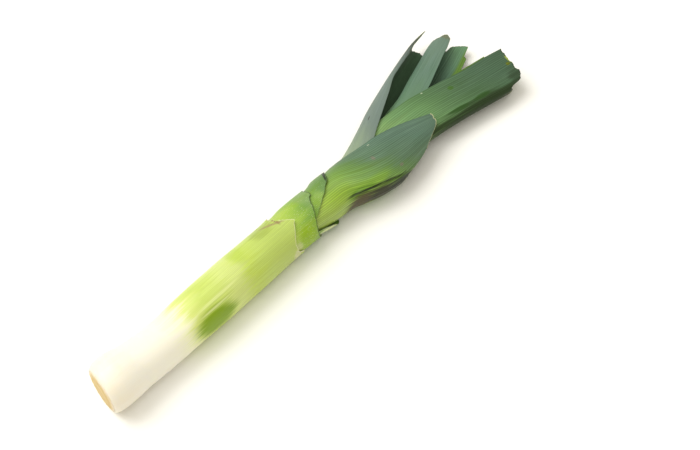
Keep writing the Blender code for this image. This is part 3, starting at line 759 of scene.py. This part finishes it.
def cut_tissue(name, pale, dark):
    """Cut leek tissue, sliced with a knife: moist pale cells between darker bundles, so half matte."""
    material, tree = new_material(name)
    place = add_node(tree, "TexCoord").outputs["Object"]
    cells = add_node(tree, "TexNoise", {"Vector": place, "Scale": 900.0, "Detail": 3.0}).outputs[0]
    colour = add_node(tree, "ValToRGB", {0: cells}, stops=((0.35, dark), (0.6, pale))).outputs[0]
    bump = add_node(tree, "Bump", {"Height": cells, "Strength": 0.5, "Distance": 0.0001}).outputs[0]
    close_material(tree, colour, 0.5, bump, IOR=1.4)
    return material


def stem_disc(name):
    """The stem's cut disc: tan corky tissue, matte, mottled orange and yellow, ringed by leaf bases."""
    material, tree = new_material(name)
    place = add_node(tree, "TexCoord").outputs["Object"]
    mottle = add_node(tree, "TexNoise", {"Vector": place, "Scale": 260.0, "Detail": 5.0}).outputs[0]
    flow = add_node(tree, "UVMap", uv_map="flow").outputs[0]
    out = add_node(tree, "SeparateXYZ", {0: flow}).outputs[1]
    rough = add_node(tree, "Math", {0: mottle, 1: 5.0, 2: -2.5}, operation="MULTIPLY_ADD").outputs[0]
    ring_at = add_node(tree, "Math", {0: out, 1: rough}, operation="ADD").outputs[0]
    rings = add_node(tree, "MapRange", {0: ring_at, 1: 0.0, 2: RECESS_RADIUS, 3: 0.0, 4: 1.0}).outputs[0]
    colour = add_node(tree, "ValToRGB", {0: rings}, stops=(
        (0.0, "#DDC694"), (0.3, "#D8BE86"), (0.5, "#DFC88F"), (0.7, "#D6BA80"), (0.86, "#E4D2A6"),
        (0.97, "#EFE0CC"))).outputs[0]
    fibres = add_node(tree, "TexNoise", {"Vector": place, "Scale": 1500.0, "Detail": 2.0}).outputs[0]
    both = add_node(tree, "Math", {0: fibres, 1: mottle}, operation="ADD").outputs[0]
    bump = add_node(tree, "Bump", {"Height": both, "Strength": 0.6, "Distance": 0.0003}).outputs[0]
    close_material(tree, colour, 0.75, bump, IOR=1.45)
    return material


def table_paint(name):
    """White matte studio table: plain, with a barely visible unevenness."""
    material, tree = new_material(name)
    place = add_node(tree, "TexCoord").outputs["Object"]
    cloud = add_node(tree, "TexNoise", {"Vector": place, "Scale": 3.0, "Detail": 2.0}).outputs[0]
    colour = add_node(tree, "ValToRGB", {0: cloud}, stops=((0.3, "#F7F6F3"), (0.7, "#FAFAF8"))).outputs[0]
    bump = add_node(tree, "Bump", {"Height": cloud, "Strength": 0.02, "Distance": 0.001}).outputs[0]
    close_material(tree, colour, 0.9, bump, IOR=1.3)
    return material


def shaft_skin():
    """Blanched sheath: satin and white where the soil kept it from the light, then yellow-green."""
    return leaf_skin(
        "blanched leek sheath",
        stops=((0, "#F2EAD8"), (24, "#F3EFE2"), (54, "#F3F0E0"), (66, "#F0F1CC"), (78, "#D5E080"),
               (92, "#C3D566"), (104, "#C8D972"), (113, "#D0DE84"), (122, "#CEDC82"), (131, "#C1D55E"),
               (145, "#BED26A"), (168, "#B6CA66")),
        marks=(("#B4CC50", 131, 7, 20, 12, 0.6, 0.0),        # greener band on the left
               ("#A0B250", 158, 11, 17, 13, 0.7, 0.0),       # painted shade below the rim
               ("#84A40A", 91, 21, 51.5, 11.5, 1.0, 0.0),    # deep green patch on the right
               ("#E4EBA6", 98, 22, 38, 1.4, 0.5, 0.0),       # two pale streaks beside it
               ("#E4EBA6", 94, 16, 43, 1.0, 0.6, 0.0),
               ("#9C8460", 167, 10, 23, 1.5, 0.7, 0.6),      # brown crack down from the rim
               ("#DAD6AC", 171, 4, 60, 7, 0.6, 0.0)),        # pale dry skin at the rim
        rim_marks=(("#8A6F4C", 171.5, 1.7, 15, 15, 0.8, 0.0),),      # brown rim on the left
        streak=0.06, vein_spacing=1.05, vein_depth=0.12, veins_from=95, edge="#DDE0B0", edge_width=0.7,
        roughness=0.38, translucent=0.3)


def second_sheath_skin():
    """Green sheath, satin and finely veined, with small pale specks."""
    return leaf_skin(
        "green leek sheath, second",
        stops=((150, "#BFD46A"), (176, "#A9C450"), (188, "#8FB23C"), (198, "#779E40"), (210, "#66904A")),
        marks=(("#8AA468", 201, 8, 22, 16, 0.5, 0.0),        # greyer skin near the rim
               ("#92B616", 184, 8, 54, 13, 0.9, 0.0),        # fresh green on the right
               ("#D0D0A0", 174, 3.5, 55, 5, 0.45, 0.0)),     # pale foot
        streak=0.1, vein_spacing=1.4, vein_depth=0.14, edge="#2B3B20", specks=0.45, roughness=0.42,
        translucent=0.1)


def third_sheath_skin():
    """Green sheath, a little darker than the second, with fewer specks."""
    return leaf_skin(
        "green leek sheath, third",
        stops=((150, "#A9C452"), (195, "#82A838"), (206, "#6F963A"), (218, "#668C44"), (232, "#5E814C")),
        marks=(("#8CAE3C", 208, 9, 31, 9, 0.6, 0.0),),       # fresh green over the top
        rim_marks=(("#16220F", 227, 6.5, 16, 2.6, 0.95, -1.8),      # painted shadow line below the rim's tip
                   ("#D3DCA6", 203, 10, 66, 8, 0.85, 0.0)),         # pale ear
        streak=0.1, vein_spacing=1.4, vein_depth=0.14, edge="#40582F", edge_width=0.6, specks=0.25,
        roughness=0.42, translucent=0.1)


def right_cut_skin():
    """Outside of the wide leaf: yellow-green at its foot, then grey-green under a thin wax, with painted
    shade and a painted shadow line along its crease.
    """
    return leaf_skin(
        "right cut leaf, outside",
        stops=((150, "#B6CC5E"), (225, "#A6C24C"), (246, "#90B238"), (265, "#86AA3B"), (281, "#739A3E"),
               (300, "#5F8249"), (312, "#597758"), (350, "#567461"), (400, "#526E5A")), slant=1.5,
        marks=(("#7FA82C", 248, 24, 15, 5, 0.6, 0.15),       # green bulge above the crease
               ("#5F8A10", 238, 13, 9.5, 4, 0.8, 0.3),
               ("#4A421C", 236, 16, -1, 10, 1.0, 0.25),      # painted shade below the crease, over the skin's own brown-olive
               ("#2A2E04", 254, 15, 0, 11.5, 1.0, 0.0),
               ("#1A2800", 273, 17, -2.5, 12.5, 1.0, -0.15),
               ("#27330E", 245, 22, 10.2, 1.3, 0.85, 0.08),      # painted shadow line in the crease
               ("#27330E", 267, 14, 9.6, 1.3, 0.85, -0.12),
               ("#7C7768", 262.6, 2.2, 31.4, 1.9, 0.7, 0.0),     # grey scars
               ("#7C7768", 277, 2.2, 16, 1.9, 0.7, 0.0),
               ("#B4BFA8", 269.5, 1.4, 43, 0.6, 0.9, 0.0)),      # pale nick near the margin
        streak=0.15, vein_spacing=1.5, vein_depth=0.24, edge="#C8C79A", edge_width=0.9,
        bloom=("#6F887B", 0.25), roughness=0.42)


def left_outer_skin():
    """Outside of the narrow leaf: blue-grey under its wax, and darker at the dry tip."""
    return leaf_skin(
        "left outer leaf, outside",
        stops=((150, "#C3D283"), (238, "#A9B985"), (262, "#879A7C"), (290, "#6E7F74"), (334, "#6A7C72"),
               (369, "#49564A"), (397, "#3A443A")),
        marks=(("#3A3A2E", 292, 2.4, 27.2, 1.2, 1.0, 0.0),       # dark scar
               ("#343A33", 393, 14, 10, 30, 0.8, 0.0)),          # dry tip
        streak=0.08, vein_spacing=1.6, vein_depth=0.12, edge="#363D2C", bloom=("#76858A", 0.3),
        roughness=0.5)


def right_long_skin():
    """Outside of the longest leaf: bright green, with painted shade below the keel, and deep green towards
    its cut.
    """
    return leaf_skin(
        "right long leaf, outside",
        stops=((150, "#A9C46A"), (300, "#8DB268"), (328, "#86AC66"), (350, "#6A935A"), (380, "#53774A"),
               (400, "#486944"), (430, "#456349"), (470, "#415D44")), slant=1.0,
        marks=(("#1E3808", 350, 90, -9, 31, 0.95, 0.0),      # painted shade on the lower half and along the keel, deepening its green
               ("#1A3008", 380, 55, 3, 15, 0.8, 0.0),
               ("#2A3F26", 410, 9, 16, 14, 0.7, 0.0),        # darker near the cut
               ("#27520E", 374, 9, 19, 3.2, 0.8, 0.0),       # two bruises
               ("#27520E", 351, 11, 18.5, 3.0, 0.8, 0.0),
               ("#57574C", 398, 15, 1, 3, 0.7, 0.0),         # grey keel near the cut
               ("#5E6A08", 412.2, 2.0, 32.6, 1.6, 1.0, 0.0),     # small scars
               ("#3F6A1A", 359.5, 2.4, 38, 1.8, 0.8, 0.0),
               ("#BCC7AC", 339, 1.1, 45, 0.6, 0.9, 0.0)),        # pale nick in the margin
        rim_marks=(("#A3B348", 415.8, 1.3, 36, 4, 0.7, 0.0),),      # yellow stretch of the cut
        streak=0.14, vein_spacing=1.5, vein_depth=0.24, edge="#22301F", edge_width=1.1,
        bloom=("#5D7862", 0.2), roughness=0.44)


def left_inner_skin():
    """Outside of the rounded leaf: grey-green under its wax."""
    return leaf_skin(
        "left inner leaf, outside",
        stops=((150, "#A6C86C"), (255, "#84AA5C"), (290, "#6E955E"), (330, "#5F8162"), (360, "#5C7B66"),
               (390, "#667F6E"), (413, "#647866")),
        rim_marks=(("#6B6440", 400.5, 2.5, 30, 15, 0.5, 0.0),),      # brown stretch of the cut
        streak=0.12, vein_spacing=1.6, vein_depth=0.17, edge="#4F5838", bloom=("#6E8880", 0.3),
        roughness=0.45)


def leaf_inside():
    """Inside of a leaf: darker green than outside, partly its own colour and partly painted shade of the
    fold's hollow, with no wax, so a little glossier.
    """
    return leaf_skin(
        "leek leaf, inside",
        # the dark stops are partly the inside's own green and partly painted shade of the fold's hollow
        stops=((150, "#B9CF7A"), (240, "#6C9448"), (270, "#47693E"), (320, "#38563A"), (413, "#3E5F42")),
        streak=0.1, vein_spacing=1.6, vein_depth=0.18, edge="#4A5C40", roughness=0.4)


def left_inner_inside():
    """Inside of the rounded leaf: deep green, with painted shadow of its upper half darkening it away from
    its margins, one of which is yellow-green.
    """
    return leaf_skin(
        "left inner leaf, inside",
        # the darker stops are painted shadow of the leaf's upper half
        stops=((150, "#B9CF7A"), (300, "#4A7040"), (385, "#3A5840"), (409, "#456650"), (425, "#54775E"),
               (437, "#5F8464"), (458, "#66906A")), slant=1.0,
        marks=(("#5C8026", 392, 40, -45.2, 3.6, 0.9, 0.0),),
        streak=0.1, vein_spacing=1.6, vein_depth=0.15, edge="#4A5C40", roughness=0.4)


def heart_skin():
    """Young leaf: tender and yellow-green in the shaft, deep green where it comes out."""
    return leaf_skin(
        "young leek leaf",
        stops=((150, "#DDE58C"), (240, "#A9C552"), (320, "#6F9632"), (380, "#4F7418"), (407, "#4A6E16")),
        streak=0.1, vein_spacing=1.5, vein_depth=0.12, edge="#7C9A4A", roughness=0.4)


def make_leek():
    """All the pieces, from the root end to the tips."""
    pale_cut = cut_tissue("cut leek tissue, pale", "#F4EFDD", "#E6DCC0")
    green_cut = cut_tissue("cut leek tissue, green", "#7F8B5E", "#414D2C")
    cream_cut = cut_tissue("cut leek tissue, dry cream", "#E4E0B6", "#A39A62")
    inside = leaf_inside()
    make_root_plate(stem_disc("stem disc tissue"))
    make_shaft(shaft_skin(), pale_cut)
    make_sheath("second_stub", "second_sheath", SECOND_SHEATH, second_sheath_skin(), green_cut)
    make_sheath("third_stub", "third_sheath", THIRD_SHEATH, third_sheath_skin(), green_cut)
    make_leaf("right_cut_blade", "right_cut_leaf", RIGHT_CUT_LEAF, [right_cut_skin(), inside, cream_cut],
              creased=True)
    make_leaf("left_outer_blade", "left_outer_leaf", LEFT_OUTER_LEAF, [left_outer_skin(), inside, green_cut])
    make_leaf("right_long_blade", "right_long_leaf", RIGHT_LONG_LEAF, [right_long_skin(), inside, green_cut])
    make_leaf("left_inner_blade", "left_inner_leaf", LEFT_INNER_LEAF,
              [left_inner_skin(), left_inner_inside(), green_cut])
    make_heart_leaf(heart_skin())


# Studio, in metres and watts: a wide white table, a large soft light from the left, and a weaker one
# from above.
TABLE_SIZE = 8.0
KEY_LIGHT = {"at": (-0.7, 1.5, 2.7), "size": 2.4, "power": 84.0, "colour": "#FFFFFF"}
TOP_LIGHT = {"at": (-0.5, -0.9, 2.9), "size": 2.4, "power": 30.0, "colour": "#FFFFFF"}
SKY_STRENGTH = 0.48
SKY_COLOUR = "#FFF6DF"
AIM = (0.11579, -0.02233, 0.015)      # what the camera looks at
CAMERA_AZIMUTH = -45.68
CAMERA_ELEVATION = 55.0
CAMERA_DISTANCE = 0.99621
CAMERA_LENS = 70.0


def make_table(paint):
    """The table: one square face under the leek."""
    half = TABLE_SIZE / 2
    corners = [(-half, -half, 0), (half, -half, 0), (half, half, 0), (-half, half, 0)]
    mesh = bpy.data.meshes.new("table")
    mesh.from_pydata(corners, [], [(0, 1, 2, 3)])
    mesh.materials.append(paint)
    table = bpy.data.objects.new("table", mesh)
    bpy.context.scene.collection.objects.link(table)


def make_light(name, at, size, power, colour):
    """A square soft light that faces the leek."""
    data = bpy.data.lights.new(name, "AREA")
    data.size = size
    data.energy = power
    data.color = linear(colour)[:3]
    light = bpy.data.objects.new(name, data)
    light.location = at
    light.rotation_euler = (Vector(AIM) - Vector(at)).to_track_quat("-Z", "Y").to_euler()
    bpy.context.scene.collection.objects.link(light)


def make_camera():
    """The photograph's view: from the root end's right side, looking down."""
    azimuth, elevation = math.radians(CAMERA_AZIMUTH), math.radians(CAMERA_ELEVATION)
    back = Vector((math.sin(azimuth) * math.cos(elevation), -math.cos(azimuth) * math.cos(elevation),
                   math.sin(elevation)))
    data = bpy.data.cameras.new("camera")
    data.lens = CAMERA_LENS
    data.clip_start = 0.01
    camera = bpy.data.objects.new("camera", data)
    camera.location = Vector(AIM) + back * CAMERA_DISTANCE
    camera.rotation_euler = (-back).to_track_quat("-Z", "Y").to_euler()
    bpy.context.scene.collection.objects.link(camera)
    bpy.context.scene.camera = camera


def make_sky():
    """Warm even light from all round."""
    world = bpy.data.worlds.new("studio")
    world.use_nodes = True
    background = world.node_tree.nodes["Background"]
    background.inputs["Color"].default_value = linear(SKY_COLOUR)
    background.inputs["Strength"].default_value = SKY_STRENGTH
    bpy.context.scene.world = world


make_camera()
make_sky()
make_light("key light", **KEY_LIGHT)
make_light("top light", **TOP_LIGHT)
make_table(table_paint("white table paint"))
make_leek()
bpy.context.scene.view_settings.view_transform = "Standard"
